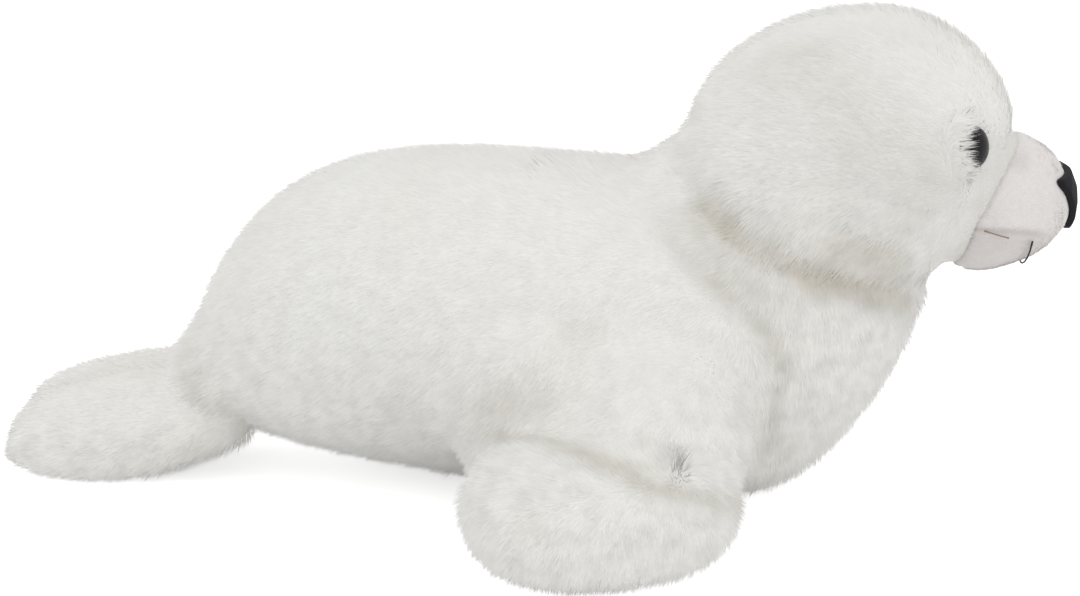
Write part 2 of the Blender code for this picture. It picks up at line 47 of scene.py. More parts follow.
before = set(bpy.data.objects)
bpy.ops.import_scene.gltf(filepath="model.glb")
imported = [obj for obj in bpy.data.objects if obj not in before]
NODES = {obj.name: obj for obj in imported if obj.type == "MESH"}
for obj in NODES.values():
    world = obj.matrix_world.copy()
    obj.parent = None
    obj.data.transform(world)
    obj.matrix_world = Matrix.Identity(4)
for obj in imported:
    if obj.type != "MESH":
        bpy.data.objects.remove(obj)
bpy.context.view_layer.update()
SIDES = ("left", "right")

# The rump's rear end, from which lengths along the seal count, and where the front pile begins
RUMP_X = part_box("body_cover")[0].x
BODY_MIDDLE = 0.150

# How far the cloth lies outside the stuffing, with less on the head, how far the head's filling
# rounds it away from the snout, and how far the snout's rear edge lies over the face
CLOTH_REACH = 0.0040
CLOTH_REACHES = {"head_stuffing": 0.0018}
HEAD_FULLNESS = 0.0016
SNOUT_LAP = 0.0012

# Face sizes of the skins and the nose, and how far above the floor cloth and strands stay
SKIN_SIZE = 0.0030
SNOUT_SIZE = 0.0012
NOSE_SIZE = 0.0004
CLOTH_FLOOR = 0.0012
STRAND_FLOOR = 0.0001

# The hollow of a skin's face that counts as a full fold
FULL_FOLD = 0.00022

# The pressure of the filling on the cloth, and the frames that the cloth gets to follow it
PRESSURE = 3.0
CLOTH_FRAMES = 20

# Blender's noise draws anew in each run unless it has a seed other than 0
NOISE_SEED = 2

# How the strands of the long and of the short pile stand
LONG_PILE = {"Density": 2300000, "Lift": 0.70, "Clump": 0.28, "Clump size": 0.009, "Stray": 0.16}
SHORT_PILE = {
    "Density": 9000000, "Width": 0.00028, "Lift": 0.5, "Clump": 0.35, "Clump size": 0.004,
    "Stray": 0.10,
}

# Filling that rounds the nape, the root of the tail and the armpits: centre from the rump, and
# half sizes
WADS = (
    ((0.1970, 0, 0.1245), (0.0150, 0.0240, 0.0140)),
    ((0.0160, 0, 0.0390), (0.0240, 0.0340, 0.0195)),
    ((0.1400, 0.0700, 0.0480), (0.0250, 0.0200, 0.0360)),
    ((0.1400, -0.0700, 0.0480), (0.0250, 0.0200, 0.0360)),
)

# The rear edge of the face's short pile: how far below the eye's middle, and how far ahead of it
FACE_EDGE = (
    (-0.0120, 0.0065), (0.0070, 0.0055), (0.0110, 0.0005), (0.0270, -0.0020), (0.0350, -0.0120),
)

# The upper edge of that pile, below the eyes' middles: between the eyes, and beside an eye
BROW_DROP = (0.0100, -0.0090)

# The photograph's view: its turn and rise, the spot on the floor that it is aimed at, from the
# rump, that spot's pixel across and down, the metres in a pixel, and the picture's size
SEEN_ANGLES = (math.radians(5.4), math.radians(19.5))
SEEN_FROM = 0.141
SEEN_MIDDLE = (541.5, 471.0)
SEEN_SCALE = 0.0004
SEEN_SIZE = (1080, 596)

# Shade painted into the folds, drawn as lines in that view: pixels across and down, the
# shade's reach in pixels and its amount
SHADES = {
    "armpit": (((490, 412), (535, 402)), 30, 0.50),
    "paddle": (
        ((500, 432), (535, 440), (598, 466), (640, 486), (700, 497), (740, 499)), 9, 0.75),
    "tail": (((196, 340), (200, 365), (222, 400), (250, 425)), 18, 0.45),
    "jowl": (((705, 222), (730, 250), (760, 268), (800, 285), (850, 296), (885, 300)), 17, 1.0),
    "neck": (((690, 240), (715, 270), (740, 300)), 26, 0.55),
    "arm": (((655, 240), (667, 258), (693, 279), (725, 310), (756, 342), (772, 367)), 8, 0.35),
    "cheek": (((790, 90), (840, 175), (890, 215)), 62, 0.42),
    "eye": (((998, 122), (998, 150), (992, 176)), 13, 0.90),
    "throat": (((820, 262), (870, 272)), 22, 0.75),
}

# The neck seam in the side view: a point, from the rump and up, and how far the seam drops per
# metre towards the nose
NECK_SEAM = (0.245, 0.108, math.tan(math.radians(24.0)))

# The fold in front of each arm, from the nape down to the floor: metres from the rump, and up
ARM_FOLD = (
    (0.178, 0.121), (0.1878, 0.1125), (0.1977, 0.1042), (0.2056, 0.0956), (0.2171, 0.0864),
    (0.2284, 0.0760), (0.2318, 0.0604), (0.2300, 0.0500), (0.2270, 0.0305), (0.2240, 0.0100),
)


# Meshes

def finished(name, mesh, material):
    """A piece in the scene at the origin, riding on the seal's one body."""
    made = bpy.data.objects.new(name, mesh)
    bpy.context.scene.collection.objects.link(made)
    mesh.materials.clear()
    mesh.materials.append(material)
    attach(made, "root")
    return made


def padded_skin(name, mesh, material, nodes):
    """A filled skin in the scene, in place of the CAD nodes that it covers."""
    skin = finished(name, mesh, material)
    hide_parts(*nodes)


def mesh_from(bm, name):
    """A new mesh from a bmesh, which is freed."""
    mesh = bpy.data.meshes.new(name)
    bm.to_mesh(mesh)
    bm.free()
    return mesh


def node_mesh(node):
    """A copy of a CAD node's mesh, with its loose triangles merged."""
    bm = bmesh.new()
    bm.from_mesh(NODES[node].data)
    bmesh.ops.remove_doubles(bm, verts=bm.verts, dist=1e-5)
    bmesh.ops.recalc_face_normals(bm, faces=bm.faces)
    return mesh_from(bm, node)


def holder_of(mesh):
    """An object in the scene that holds a mesh while a modifier works on it."""
    holder = bpy.data.objects.new("holder", mesh)
    bpy.context.scene.collection.objects.link(holder)
    return holder


def applied(holder):
    """The holder's mesh with its modifier applied. The holder is removed."""
    graph = bpy.context.evaluated_depsgraph_get()
    mesh = bpy.data.meshes.new_from_object(holder.evaluated_get(graph))
    bpy.data.objects.remove(holder)
    return mesh


def remeshed(mesh, size):
    """An even closed skin round a mesh, in faces of about the given size."""
    holder = holder_of(mesh)
    made = holder.modifiers.new("even", "REMESH")
    made.mode = "VOXEL"
    made.voxel_size = size
    made.use_smooth_shade = True
    return applied(holder)


def grown(node):
    """An even skin round a CAD node's stuffing, moved out by the thickness of the cloth."""
    mesh = remeshed(node_mesh(node), SKIN_SIZE)
    relaxed(mesh, 2)
    reach = CLOTH_REACHES.get(node, CLOTH_REACH)
    place(mesh, points_of(mesh) + normals_of(mesh) * reach)
    return mesh


def wad(centre, half_sizes):
    """A ball of filling that rounds out a corner between two stuffed forms."""
    bm = bmesh.new()
    bmesh.ops.create_icosphere(bm, subdivisions=4, radius=1.0)
    bmesh.ops.scale(bm, vec=half_sizes, verts=bm.verts)
    bmesh.ops.translate(bm, vec=(RUMP_X + centre[0], *centre[1:]), verts=bm.verts)
    return mesh_from(bm, "wad")


def melted(meshes):
    """One even skin round several meshes that run into each other."""
    bm = bmesh.new()
    for mesh in meshes:
        bm.from_mesh(mesh)
    return remeshed(mesh_from(bm, "joined"), SKIN_SIZE)


def turned_form(name, profile, centre, axis, around=64):
    """A closed form turned round an axis, from the radii and heights of its profile."""
    bm = bmesh.new()
    turn = Vector((0, 0, 1)).rotation_difference(Vector(axis))

    def corner(radius, height, angle=0.0):
        spot = Vector((radius * math.cos(angle), radius * math.sin(angle), height))
        return bm.verts.new(Vector(centre) + turn @ spot)

    rings = [
        [corner(radius, height, math.tau * i / around) for i in range(around)]
        for radius, height in profile[1:-1]
    ]
    ends = [corner(0.0, profile[0][1]), corner(0.0, profile[-1][1])]
    for row, following in zip(rings, rings[1:]):
        for i in range(around):
            j = (i + 1) % around
            bm.faces.new((row[i], row[j], following[j], following[i]))
    for i in range(around):
        j = (i + 1) % around
        bm.faces.new((rings[0][j], rings[0][i], ends[0]))
        bm.faces.new((rings[-1][i], rings[-1][j], ends[1]))
    bmesh.ops.recalc_face_normals(bm, faces=bm.faces)
    mesh = mesh_from(bm, name)
    mesh.shade_smooth()
    return mesh


def vectors_of(items, key):
    """One vector for each item of a mesh, as rows."""
    values = np.empty(len(items) * 3)
    items.foreach_get(key, values)
    return values.reshape(-1, 3)


def points_of(mesh):
    return vectors_of(mesh.vertices, "co")


def normals_of(mesh):
    return vectors_of(mesh.vertices, "normal")


def place(mesh, places):
    mesh.vertices.foreach_set("co", np.ascontiguousarray(places).ravel())
    mesh.update()


def neighbour_mean(mesh, values):
    """The mean of each vertex's neighbours' values."""
    edges = np.empty(len(mesh.edges) * 2, dtype=np.int64)
    mesh.edges.foreach_get("vertices", edges)
    first, second = edges.reshape(-1, 2).T
    total = np.zeros_like(values)
    np.add.at(total, first, values[second])
    np.add.at(total, second, values[first])
    count = np.bincount(edges, minlength=len(values)).astype(float)
    return total / np.maximum(count, 1)[(...,) + (None,) * (values.ndim - 1)]


def smoothed(mesh, values, rounds):
    """Values evened out along the skin."""
    for _ in range(rounds):
        values = values + (neighbour_mean(mesh, values) - values) * 0.5
    return values


def relaxed(mesh, rounds, weight=1.0):
    """Smooths the skin's shape, by a weight that may differ from point to point."""
    for _ in range(rounds):
        places = points_of(mesh)
        moved = neighbour_mean(mesh, places) - places
        place(mesh, places + moved * 0.5 * np.reshape(weight, (-1, 1)))


def ramp(values, low, high):
    """0 at the low value, 1 at the high one, with a smooth way between."""
    t = np.clip((values - low) / (high - low), 0, 1)
    return t * t * (3 - 2 * t)


def fall(values, low, high):
    """1 at the low value, 0 at the high one, with a smooth way between."""
    return ramp(-values, -high, -low)


def band(values, low, full, last, high):
    """1 from the full value to the last one, falling to 0 at the low and the high value."""
    return ramp(values, low, full) * fall(values, last, high)


def concavity(mesh):
    """1 in the folds where two stuffed forms meet, 0 on the open skin."""
    places = smoothed(mesh, points_of(mesh), 2)
    depth = ((neighbour_mean(mesh, places) - places) * normals_of(mesh)).sum(1)
    return np.clip(smoothed(mesh, depth, 6) / FULL_FOLD, 0, 1)


def store(mesh, name, values):
    kind = "FLOAT_VECTOR" if values.ndim == 2 else "FLOAT"
    made = mesh.attributes.new(name, kind, "POINT")
    key = "vector" if values.ndim == 2 else "value"
    made.data.foreach_set(key, np.ascontiguousarray(values, dtype=np.float32).ravel())


def distances(node, places):
    """How far each place lies from a CAD node's surface."""
    bm = bmesh.new()
    bm.from_mesh(NODES[node].data)
    tree = BVHTree.FromBMesh(bm)
    bm.free()
    return np.array([tree.find_nearest(Vector(spot))[3] for spot in places])


def noise_field(places, scale, seed):
    """A smooth random direction for each place, its patches about as large as the scale."""
    noise.seed_set(NOISE_SEED)
    offset = Vector((seed * 7.3, seed * 3.1, seed * 5.7))
    return np.array([noise.noise_vector(Vector(p) / scale + offset) for p in places])


def filled(mesh, held, cap):
    """The skin after its filling pushes it out like cloth, no further than the cap.

    The held points, given as shares from 0 to 1, keep their places.
    """
    start = points_of(mesh)
    holder = holder_of(mesh)
    group = holder.vertex_groups.new(name="held")
    for index in np.nonzero(held > 0.02)[0]:
        group.add([int(index)], float(held[index]), "REPLACE")
    cloth = holder.modifiers.new("filling", "CLOTH")
    cloth.settings.quality = 4
    cloth.settings.mass = 0.3
    cloth.settings.tension_stiffness = 12
    cloth.settings.compression_stiffness = 12
    cloth.settings.shear_stiffness = 6
    cloth.settings.bending_stiffness = 0.4
    cloth.settings.use_pressure = True
    cloth.settings.uniform_pressure_force = PRESSURE
    cloth.settings.effector_weights.gravity = 0
    cloth.settings.vertex_group_mass = "held"
    cloth.point_cache.frame_end = CLOTH_FRAMES
    scene = bpy.context.scene
    for number in range(1, CLOTH_FRAMES + 1):
        scene.frame_set(number)
    result = applied(holder)
    scene.frame_set(1)
    moved = points_of(result) - start
    reach = np.linalg.norm(moved, axis=1, keepdims=True)
    place(result, start + moved * np.minimum(1, cap / np.maximum(reach, 1e-9)))
    return result


# Node trees

def new_node(tree, kind, values=(), **settings):
    """A node with its settings, and with constants or links for its inputs."""
    made = tree.nodes.new(kind)
    for key, value in settings.items():
        setattr(made, key, value)
    for key, value in dict(values).items():
        if isinstance(value, bpy.types.NodeSocket):
            tree.links.new(value, made.inputs[key])
        else:
            made.inputs[key].default_value = value
    return made


def vector_math(tree, operation, *values):
    slots = (0, "Scale") if operation == "SCALE" else range(len(values))
    made = new_node(tree, "ShaderNodeVectorMath", zip(slots, values), operation=operation)
    return made.outputs[0]


def scalar_math(tree, operation, *values):
    return new_node(tree, "ShaderNodeMath", enumerate(values), operation=operation).outputs[0]


def pile_tree():
    """Geometry Nodes that plant combed strands on a skin."""
    tree = bpy.data.node_groups.new("pile", "GeometryNodeTree")
    sockets = (
        ("Geometry", "NodeSocketGeometry", None), ("Strand", "NodeSocketObject", None),
        ("Density", "NodeSocketFloat", 500000.0), ("Length", "NodeSocketFloat", 0.008),
        ("Width", "NodeSocketFloat", 0.0005), ("Lift", "NodeSocketFloat", 0.8),
        ("Clump", "NodeSocketFloat", 0.5), ("Clump size", "NodeSocketFloat", 0.008),
        ("Stray", "NodeSocketFloat", 0.25), ("Seed", "NodeSocketInt", 0),
        ("Material", "NodeSocketMaterial", None),
    )
    for name, kind, default in sockets:
        made = tree.interface.new_socket(name, in_out="INPUT", socket_type=kind)
        if default is not None:
            made.default_value = default
    tree.interface.new_socket("Geometry", in_out="OUTPUT", socket_type="NodeSocketGeometry")
    given = tree.nodes.new("NodeGroupInput").outputs
    seed = given["Seed"]

    def attribute(name, kind):
        made = new_node(tree, "GeometryNodeInputNamedAttribute", {"Name": name}, data_type=kind)
        return made.outputs["Attribute"]

    def chance(kind, low, high, shift):
        made = tree.nodes.new("FunctionNodeRandomValue")
        made.data_type = kind
        usable = [slot for slot in made.inputs if slot.enabled]
        usable[0].default_value = low
        usable[1].default_value = high
        shifted = scalar_math(tree, "ADD", seed, shift)
        tree.links.new(shifted, made.inputs["Seed"])
        return next(slot for slot in made.outputs if slot.enabled)

    cover = scalar_math(tree, "MULTIPLY", given["Density"], attribute("cover", "FLOAT"))
    spread = new_node(
        tree, "GeometryNodeDistributePointsOnFaces",
        {"Mesh": given["Geometry"], "Density": cover, "Seed": seed},
    )
    normal = spread.outputs["Normal"]
    kept = new_node(
        tree, "GeometryNodeStoreNamedAttribute",
        {"Geometry": spread.outputs["Points"], "Name": "skin_normal", "Value": normal},
        data_type="FLOAT_VECTOR", domain="POINT",
    )
    kept = new_node(
        tree, "GeometryNodeStoreNamedAttribute",
        {"Geometry": kept.outputs["Geometry"], "Name": "shade", "Value": chance("FLOAT", 0, 1, 6)},
        data_type="FLOAT", domain="POINT",
    )
    clump_size = scalar_math(tree, "DIVIDE", 1.0, given["Clump size"])
    waves = new_node(tree, "ShaderNodeTexNoise", {"Scale": clump_size, "Detail": 2.0})
    swing = vector_math(tree, "SUBTRACT", waves.outputs["Color"], (0.5, 0.5, 0.5))
    swing = vector_math(tree, "SCALE", swing, scalar_math(tree, "MULTIPLY", given["Clump"], 4.0))
    messy = vector_math(tree, "SCALE", swing, attribute("mess", "FLOAT"))
    stray = vector_math(tree, "SCALE", chance("FLOAT_VECTOR", (-1, -1, -1), (1, 1, 1), 1),
                        given["Stray"])
    lift = scalar_math(tree, "MULTIPLY", given["Lift"], chance("FLOAT", 0.6, 1.5, 5))
    lift = scalar_math(tree, "MULTIPLY", lift, attribute("lift", "FLOAT"))
    lifted = vector_math(tree, "SCALE", normal, lift)
    way = vector_math(tree, "ADD", attribute("comb", "FLOAT_VECTOR"), lifted)
    way = vector_math(tree, "ADD", way, messy)
    way = vector_math(tree, "ADD", way, stray)
    along = new_node(
        tree, "FunctionNodeAlignRotationToVector", {"Vector": way}, axis="X",
    ).outputs["Rotation"]
    facing = vector_math(tree, "ADD", normal, vector_math(
        tree, "SCALE", chance("FLOAT_VECTOR", (-1, -1, -1), (1, 1, 1), 2), 0.25))
    turned = new_node(
        tree, "FunctionNodeAlignRotationToVector", {"Rotation": along, "Vector": facing},
        axis="Z", pivot_axis="X",
    ).outputs["Rotation"]
    length = scalar_math(tree, "MULTIPLY", given["Length"], attribute("long", "FLOAT"))
    length = scalar_math(tree, "MULTIPLY", length, chance("FLOAT", 0.55, 1.2, 3))
    width = scalar_math(tree, "MULTIPLY", given["Width"], chance("FLOAT", 0.6, 1.3, 4))
    size = new_node(tree, "ShaderNodeCombineXYZ", {"X": length, "Y": width, "Z": length})
    strand = new_node(tree, "GeometryNodeObjectInfo", {"Object": given["Strand"]})
    planted = new_node(
        tree, "GeometryNodeInstanceOnPoints",
        {"Points": kept.outputs["Geometry"], "Instance": strand.outputs["Geometry"],
         "Rotation": turned, "Scale": size.outputs["Vector"]},
    )
    real = new_node(
        tree, "GeometryNodeRealizeInstances", {"Geometry": planted.outputs["Instances"]},
    )
    dressed = new_node(
        tree, "GeometryNodeSetMaterial",
        {"Geometry": real.outputs["Geometry"], "Material": given["Material"]},
    )
    out = tree.nodes.new("NodeGroupOutput")
    tree.links.new(dressed.outputs["Geometry"], out.inputs["Geometry"])
    return tree


def strand_object():
    """One curved strand of unit length and width, along +X, its back to +Z."""
    mesh = bpy.data.meshes.new("strand")
    corners = [(0, 0, 0), (0.42, -0.5, 0.08), (0.42, 0.5, 0.08), (1, 0, 0.03)]
    mesh.from_pydata(corners, [], [(0, 1, 2), (1, 3, 2)])
    store(mesh, "rise", np.array((0.0, 0.6, 0.6, 1.0)))
    made = bpy.data.objects.new("strand", mesh)
    bpy.context.scene.collection.objects.link(made)
    return made


def side_map(mesh):
    """A texture map that projects each half of the mesh on its own side."""
    margin = 0.01
    places = points_of(mesh)
    corners = np.empty(len(mesh.loops), dtype=np.int64)
    mesh.loops.foreach_get("vertex_index", corners)
    spots = places[corners]
    triangle_mean = spots.reshape(-1, 3, 3).mean(1).repeat(3, axis=0)
    low, high = places.min(0), places.max(0)
    share = (spots - low) / (high - low)
    across = share[:, 0] * (0.5 - 2 * margin) + margin
    across += np.where(triangle_mean[:, 1] > 0, 0.5, 0.0)
    up = share[:, 2] * (1 - 4 * margin) + 2 * margin
    layer = mesh.uv_layers.new(name="OFBake")
    layer.data.foreach_set("uv", np.stack((across, up), 1).astype(np.float32).ravel())


def planted(name, skin, material, slot, seed, settings):
    """A piece of pile on a skin, shaded along with the skin under it."""
    tree = bpy.data.node_groups.get("pile") or pile_tree()
    strand = bpy.data.objects.get("strand") or strand_object()
    holder = holder_of(skin)
    made = holder.modifiers.new("pile", "NODES")
    made.node_group = tree
    inputs = {"Strand": strand, "Seed": seed, "Material": material, **settings}
    for item in tree.interface.items_tree:
        if item.item_type == "SOCKET" and item.in_out == "INPUT" and item.name in inputs:
            made[item.identifier] = inputs[item.name]
    mesh = applied(holder)
    mesh.name = name
    places = points_of(mesh)
    places[:, 2] = np.maximum(places[:, 2], STRAND_FLOOR)
    place(mesh, places)
    soft = vectors_of(mesh.attributes["skin_normal"].data, "vector")
    own = normals_of(mesh)
    own *= np.sign((own * soft).sum(1, keepdims=True))
    mixed = soft * 0.94 + own * 0.06
    mixed /= np.maximum(np.linalg.norm(mixed, axis=1, keepdims=True), 1e-9)
    mesh.normals_split_custom_set_from_vertices(mixed.tolist())
    for spare in ("skin_normal", "comb", "cover", "long", "lift"):
        if spare in mesh.attributes:
            mesh.attributes.remove(mesh.attributes[spare])
    side_map(mesh)
    print(name, len(mesh.polygons), "triangles")
    piece = finished(name, mesh, material)
    piece.visible_shadow = False
    piece.visible_diffuse = False


def long_planted(name, skin, seed):
    """A piece of long pile on a skin."""
    pile = bpy.context.scene.seal_pile
    settings = {"Length": pile.length, "Width": pile.strand, **LONG_PILE}
    planted(name, skin, long_pile(), "long_pile", seed, settings)


# Materials

def pile_tint_group():
    """A shader group: the pile's colour, with patches, and painted shade in tufts, at the strands'
    roots and in the folds.
    """
    tree = bpy.data.node_groups.new("pile_tint", "ShaderNodeTree")
    sockets = (
        ("Pile", "NodeSocketColor"), ("Patch", "NodeSocketColor"), ("Fold shade", "NodeSocketColor"),
        ("Patch scale", "NodeSocketFloat"), ("Patch amount", "NodeSocketFloat"),
        ("Fold shade amount", "NodeSocketFloat"), ("Tuft scale", "NodeSocketFloat"),
        ("Tuft shade amount", "NodeSocketFloat"), ("Root shade amount", "NodeSocketFloat"),
        ("Strand amount", "NodeSocketFloat"),
    )
    for name, kind in sockets:
        tree.interface.new_socket(name, in_out="INPUT", socket_type=kind)
    tree.interface.new_socket("Color", in_out="OUTPUT", socket_type="NodeSocketColor")
    given = tree.nodes.new("NodeGroupInput").outputs
    where = tree.nodes.new("ShaderNodeTexCoord").outputs["Object"]

    def attribute(name):
        return new_node(tree, "ShaderNodeAttribute", attribute_name=name).outputs["Fac"]

    def cloud(scale, detail, low, high):
        made = new_node(
            tree, "ShaderNodeTexNoise", {"Vector": where, "Scale": scale, "Detail": detail}
        )
        return new_node(
            tree, "ShaderNodeMapRange", {"Value": made.outputs["Fac"], 1: low, 2: high}
        ).outputs["Result"]

    def product(*values):
        total = values[0]
        for value in values[1:]:
            total = scalar_math(tree, "MULTIPLY", total, value)
        return total

    amount = product(cloud(given["Patch scale"], 2.0, 0.42, 0.68), given["Patch amount"])
    patched = new_node(
        tree, "ShaderNodeMixRGB", {"Fac": amount, 1: given["Pile"], 2: given["Patch"]}
    ).outputs["Color"]
    # Painted shade in the folds: the colour is mixed towards the fold shade colour by the fold
    # attribute
    amount = product(attribute("fold"), cloud(45.0, 2.0, -0.25, 0.62), given["Fold shade amount"])
    with_fold_shade = new_node(
        tree, "ShaderNodeMixRGB", {"Fac": amount, 1: patched, 2: given["Fold shade"]}
    ).outputs["Color"]
    # Painted shade: darker towards the strands' roots and in the gaps between tufts, with a random
    # darkening for each strand
    depth = scalar_math(tree, "SUBTRACT", 1.0, attribute("rise"))
    tuft_shade = product(cloud(given["Tuft scale"], 3.0, 0.40, 0.66), attribute("mess"))
    darker = scalar_math(tree, "ADD", product(depth, given["Root shade amount"]), scalar_math(
        tree, "ADD", product(tuft_shade, given["Tuft shade amount"]),
        product(attribute("shade"), given["Strand amount"]),
    ))
    light = scalar_math(tree, "SUBTRACT", 1.0, darker)
    lit = vector_math(tree, "SCALE", with_fold_shade, light)
    out = tree.nodes.new("NodeGroupOutput")
    tree.links.new(lit, out.inputs["Color"])
    return tree


def plain_material(name, roughness):
    made = bpy.data.materials.new(name)
    made.use_nodes = True
    shader = made.node_tree.nodes["Principled BSDF"]
    shader.inputs["Roughness"].default_value = roughness
    return made, made.node_tree, shader


def pile_material(name, colours, amounts):
    """Matte pile with a faint sheen."""
    made, tree, shader = plain_material(name, 0.9)
    shader.inputs["Specular IOR Level"].default_value = 0.1
    shader.inputs["Sheen Weight"].default_value = 0.25
    shader.inputs["Sheen Roughness"].default_value = 0.6
    group = bpy.data.node_groups.get("pile_tint") or pile_tint_group()
    tint = new_node(tree, "ShaderNodeGroup", node_tree=group)
    for key, colour in colours.items():
        tint.inputs[key].default_value = (*colour, 1)
    for key, amount in amounts.items():
        tint.inputs[key].default_value = amount
    tree.links.new(tint.outputs["Color"], shader.inputs["Base Color"])
    return made


def grained_material(name, colour, roughness, grain, scale, specular=0.5):
    """A moulded or sewn surface with fine grain in its roughness and height."""
    made, tree, shader = plain_material(name, roughness)
    shader.inputs["Specular IOR Level"].default_value = specular
    where = tree.nodes.new("ShaderNodeTexCoord").outputs["Object"]
    speck = new_node(tree, "ShaderNodeTexNoise", {"Vector": where, "Scale": scale, "Detail": 4.0})
    shade = new_node(
        tree, "ShaderNodeMixRGB",
        {"Fac": speck.outputs["Fac"], 1: (*colour, 1), 2: (*[c * 1.6 for c in colour], 1)},
    )
    tree.links.new(shade.outputs["Color"], shader.inputs["Base Color"])
    rough = new_node(
        tree, "ShaderNodeMapRange",
        {"Value": speck.outputs["Fac"], 3: roughness * 0.85, 4: min(1.0, roughness * 1.15)},
    )
    tree.links.new(rough.outputs["Result"], shader.inputs["Roughness"])
    if grain > 0:
        bump = new_node(
            tree, "ShaderNodeBump",
            {"Height": speck.outputs["Fac"], "Strength": grain, "Distance": 0.0004},
        )
        tree.links.new(bump.outputs["Normal"], shader.inputs["Normal"])
    return made


# What a user may change

class SealPileSettings(bpy.types.PropertyGroup):
    """The long pile of the body, head and flippers."""

    length: bpy.props.FloatProperty(
        name="Pile length", description="Length of a strand of the long pile",
        default=0.0066, min=0.003, max=0.02, subtype="DISTANCE", unit="LENGTH",
    )
    strand: bpy.props.FloatProperty(
        name="Strand width", description="Width of a strand at its widest",
        default=0.00034, min=0.0002, max=0.002, subtype="DISTANCE", unit="LENGTH",
    )
    colour: bpy.props.FloatVectorProperty(
        name="Pile colour", description="Colour of the long pile",
        default=(0.85, 0.845, 0.82), min=0, max=1, size=3, subtype="COLOR",
    )
    # Painted shade: the colour that the pile is mixed towards in its folds
    fold_shade_colour: bpy.props.FloatVectorProperty(
        name="Fold shade colour", description="Colour of the pile deep in the folds",
        default=(0.50, 0.455, 0.37), min=0, max=1, size=3, subtype="COLOR",
    )


class SealFaceSettings(bpy.types.PropertyGroup):
    """The snout, nose and eyes."""

    snout_pile: bpy.props.FloatProperty(
        name="Snout pile", description="Length of the short pile of the snout",
        default=0.0017, min=0.0005, max=0.004, subtype="DISTANCE", unit="LENGTH",
    )
    snout_colour: bpy.props.FloatVectorProperty(
        name="Snout colour", description="Colour of the short pile",
        default=(0.80, 0.77, 0.75), min=0, max=1, size=3, subtype="COLOR",
    )
    nose_colour: bpy.props.FloatVectorProperty(
        name="Nose colour", description="Colour of the matte nose",
        default=(0.010, 0.010, 0.012), min=0, max=1, size=3, subtype="COLOR",
    )
    eye_colour: bpy.props.FloatVectorProperty(
        name="Eye colour", description="Colour of the polished eyes",
        default=(0.006, 0.006, 0.007), min=0, max=1, size=3, subtype="COLOR",
    )


class SealStageSettings(bpy.types.PropertyGroup):
    """The floor and the camera."""

    floor_colour: bpy.props.FloatVectorProperty(
        name="Floor colour", description="Colour of the floor",
        default=(0.97, 0.97, 0.97), min=0, max=1, size=3, subtype="COLOR",
    )
    camera_distance: bpy.props.FloatProperty(
        name="Camera distance", description="Distance from the camera to the seal",
        default=1.3, min=0.5, max=5.0, subtype="DISTANCE", unit="LENGTH",
    )


def long_pile():
    made = bpy.data.materials.get("long_pile_fur")
    if made is None:
        pile = bpy.context.scene.seal_pile
        patch = tuple(c * f for c, f in zip(pile.colour, (0.985, 0.975, 0.945)))
        colours = {"Pile": pile.colour, "Patch": patch, "Fold shade": pile.fold_shade_colour}
        # The fold, tuft and root amounts are painted shade
        amounts = {
            "Patch scale": 16.0, "Patch amount": 0.7, "Fold shade amount": 0.75, "Tuft scale": 150.0,
            "Tuft shade amount": 0.12, "Root shade amount": 0.17, "Strand amount": 0.07,
        }
        made = pile_material("long_pile_fur", colours, amounts)
    return made


def skin_fields(mesh, comb, mess, long, cover, lift=1.0, shaded=0.0):
    """Stores what the pile follows: its lay, disorder, length, cover, lift, and its painted fold
    shade.
    """
    normals = normals_of(mesh)
    comb = comb - normals * (comb * normals).sum(1, keepdims=True)
    comb = smoothed(mesh, comb, 3)
    comb /= np.maximum(np.linalg.norm(comb, axis=1, keepdims=True), 0.2)
    fold = smoothed(mesh, concavity(mesh), 4)
    store(mesh, "comb", comb)
    store(mesh, "mess", mess)
    store(mesh, "long", long)
    store(mesh, "cover", cover * (1 - 0.95 * ramp(smoothed(mesh, fold, 3), 0.15, 0.40)))
    store(mesh, "lift", lift * (1 - 0.6 * fold))
    # The fold attribute is the amount of painted fold shade: the hollows, or the given painted
    # shade where that is more
    store(mesh, "fold", np.maximum(fold, shaded))


def fold_distance(along, above, line):
    """Distance from a line of points in the side view: above 0 behind it, below 0 ahead of it."""
    spots = np.stack((along, above), 1)
    best = np.full(len(spots), 1e9)
    side = np.ones(len(spots))
    for first, second in zip(line, line[1:]):
        first, second = np.array(first), np.array(second)
        step = second - first
        share = np.clip((spots - first) @ step / (step @ step), 0, 1)
        gap = spots - (first + share[:, None] * step)
        reach = np.linalg.norm(gap, axis=1)
        turn = step[0] * gap[:, 1] - step[1] * gap[:, 0]
        closer = reach < best
        best = np.where(closer, reach, best)
        side = np.where(closer, np.where(turn < 0, 1.0, -1.0), side)
    return best * side


def shaped_shoulder(mesh):
    """Pushes the shoulder out behind the arm's front fold, and the chest in ahead of it."""
    places = points_of(mesh)
    gap = fold_distance(places[:, 0] - RUMP_X, places[:, 2], ARM_FOLD)
    behind = ramp(gap, -0.001, 0.004) * np.exp(-np.maximum(gap, 0) / 0.032)
    ahead = fall(gap, -0.003, 0.002) * np.exp(-np.maximum(-gap, 0) / 0.018)
    beside = ramp(np.abs(places[:, 1]), 0.020, 0.045)
    beside *= band(places[:, 2], 0.015, 0.035, 0.098, 0.122)
    push = (0.0072 * behind - 0.0052 * ahead) * beside
    way = normals_of(mesh) * (0.15, 1.0, 0.6)
    place(mesh, places + way * push[:, None])
    relaxed(mesh, 1)


